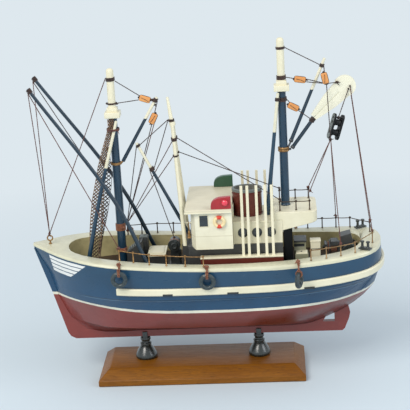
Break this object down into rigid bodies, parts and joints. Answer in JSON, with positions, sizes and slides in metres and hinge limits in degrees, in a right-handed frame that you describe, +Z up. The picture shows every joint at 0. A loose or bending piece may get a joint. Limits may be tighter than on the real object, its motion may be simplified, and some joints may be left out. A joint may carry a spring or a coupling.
{
  "type": "model fishing trawler on a display stand",
  "caption": "Wooden display model of a fishing trawler with masts, booms, rigging, deckhouse, fenders and net, on a bevelled base board with turned pedestals.",
  "frame": {"origin": "centre of the base board's underside", "axes": "+Z up, bow towards -X, port side towards -Y"},
  "size_m": [0.4002, 0.1702, 0.388],
  "materials": {
    "cream_paint": "satin paint on wood",
    "blue_paint": "satin paint on wood",
    "mast_blue": "satin paint on wood",
    "dark_blue": "satin paint on wood",
    "red_paint": "satin paint on wood",
    "red_brown_paint": "satin paint on wood",
    "walnut_stain": "stained and varnished wood",
    "black_gloss": "gloss paint on turned wood",
    "dark_fitting": "dark moulded fitting",
    "grey_paint": "matt paint on wood",
    "dark_grey_paint": "matt paint on wood",
    "deck_stain": "dark stained wood",
    "tyre_plastic": "moulded ring",
    "brass_wire": "dull brass",
    "dark_wire": "darkened wire",
    "thread": "twisted thread",
    "netting": "fine netting",
    "light_red": "gloss",
    "light_green": "gloss",
    "ring_yellow": "satin, red bands"
  },
  "bodies": {
    "ship": {"base_board": "walnut_stain", "pedestal_fore": "black_gloss", "pedestal_aft": "black_gloss", "hull": "blue_paint", "keel_board": "red_paint", "deck": "deck_stain", "rubbing_strake": "cream_paint", "superstructure_plinth": "dark_grey_paint", "wheelhouse": "cream_paint", "wheelhouse_roof": "cream_paint", "deckhouse": "cream_paint", "boat_deck": "cream_paint", "engine_casing": "dark_blue", "funnel": "red_brown_paint", "sidelight_port": "light_red", "sidelight_starboard": "light_green", "life_ring_port": "ring_yellow", "life_ring_starboard": "ring_yellow", "slat_rack_port": "cream_paint", "slat_rack_starboard": "cream_paint", "foremast": "mast_blue", "aft_mast": "mast_blue", "bipod_mast": "cream_paint", "outrigger_port": "dark_blue", "outrigger_starboard": "dark_blue", "net_pole": "mast_blue", "fishing_net": "netting", "fore_derrick": "dark_blue", "mid_derrick": "dark_blue", "aft_boom": "dark_blue", "crane_arm": "cream_paint", "topping_pole": "mast_blue", "rail_fore_port": "brass_wire", "rail_fore_starboard": "dark_wire", "rail_aft": "brass_wire", "rail_boat_deck": "dark_wire", "bollard_port": "dark_fitting", "bollard_starboard": "dark_fitting", "fore_hatch": "cream_paint", "vent_boxes": "grey_paint", "fore_winch": "dark_fitting", "aft_lockers": "cream_paint", "aft_crate": "cream_paint", "stern_winch": "dark_grey_paint", "net_drum": "deck_stain", "stern_crate": "grey_paint", "bow_eye": "brass_wire", "fore_rigging": "thread", "fore_tackle": "thread", "aft_rigging": "thread"},
    "fender_fore_port": {"fender_fore_port": "tyre_plastic"},
    "fender_fore_starboard": {"fender_fore_starboard": "tyre_plastic"},
    "fender_mid_port": {"fender_mid_port": "tyre_plastic"},
    "fender_mid_starboard": {"fender_mid_starboard": "tyre_plastic"},
    "fender_aft_port": {"fender_aft_port": "tyre_plastic"},
    "fender_aft_starboard": {"fender_aft_starboard": "tyre_plastic"},
    "bell": {"bell": "brass_wire"},
    "power_block": {"power_block": "dark_fitting"},
    "roller_upper": {"roller_upper": "dark_fitting"},
    "roller_lower": {"roller_lower": "dark_fitting"}
  },
  "joints": [
    {"name": "fender_fore_port_swing", "type": "hinge", "parent": "ship", "child": "fender_fore_port", "pos_m": [-0.0825, -0.06833, 0.15145], "axis": [-1, 0, 0], "range_deg": [0, 60]},
    {"name": "fender_fore_starboard_swing", "type": "hinge", "parent": "ship", "child": "fender_fore_starboard", "pos_m": [-0.0825, 0.06833, 0.15145], "axis": [1, 0, 0], "range_deg": [0, 60]},
    {"name": "fender_mid_port_swing", "type": "hinge", "parent": "ship", "child": "fender_mid_port", "pos_m": [0.014, -0.07117, 0.14627], "axis": [-1, 0, 0], "range_deg": [0, 60]},
    {"name": "fender_mid_starboard_swing", "type": "hinge", "parent": "ship", "child": "fender_mid_starboard", "pos_m": [0.014, 0.07117, 0.14627], "axis": [1, 0, 0], "range_deg": [0, 60]},
    {"name": "fender_aft_port_swing", "type": "hinge", "parent": "ship", "child": "fender_aft_port", "pos_m": [0.114, -0.06774, 0.14743], "axis": [-1, 0, 0], "range_deg": [0, 60]},
    {"name": "fender_aft_starboard_swing", "type": "hinge", "parent": "ship", "child": "fender_aft_starboard", "pos_m": [0.114, 0.06774, 0.14743], "axis": [1, 0, 0], "range_deg": [0, 60]},
    {"name": "bell_swing", "type": "hinge", "parent": "ship", "child": "bell", "pos_m": [-0.0064, -0.027, 0.189], "axis": [1, 0, 0], "range_deg": [-18, 18]},
    {"name": "power_block_swing", "type": "hinge", "parent": "ship", "child": "power_block", "pos_m": [0.1756, 0, 0.3286], "axis": [0, 1, 0], "range_deg": [0, 10]},
    {"name": "roller_upper_spin", "type": "hinge", "parent": "power_block", "child": "roller_upper", "pos_m": [0.16216, -0.008, 0.29258], "axis": [0.9237, 0.2588, -0.2824], "continuous": true},
    {"name": "roller_lower_spin", "type": "hinge", "parent": "power_block", "child": "roller_lower", "pos_m": [0.15877, -0.008, 0.28149], "axis": [0.9237, 0.2588, -0.2824], "continuous": true}
  ]
}
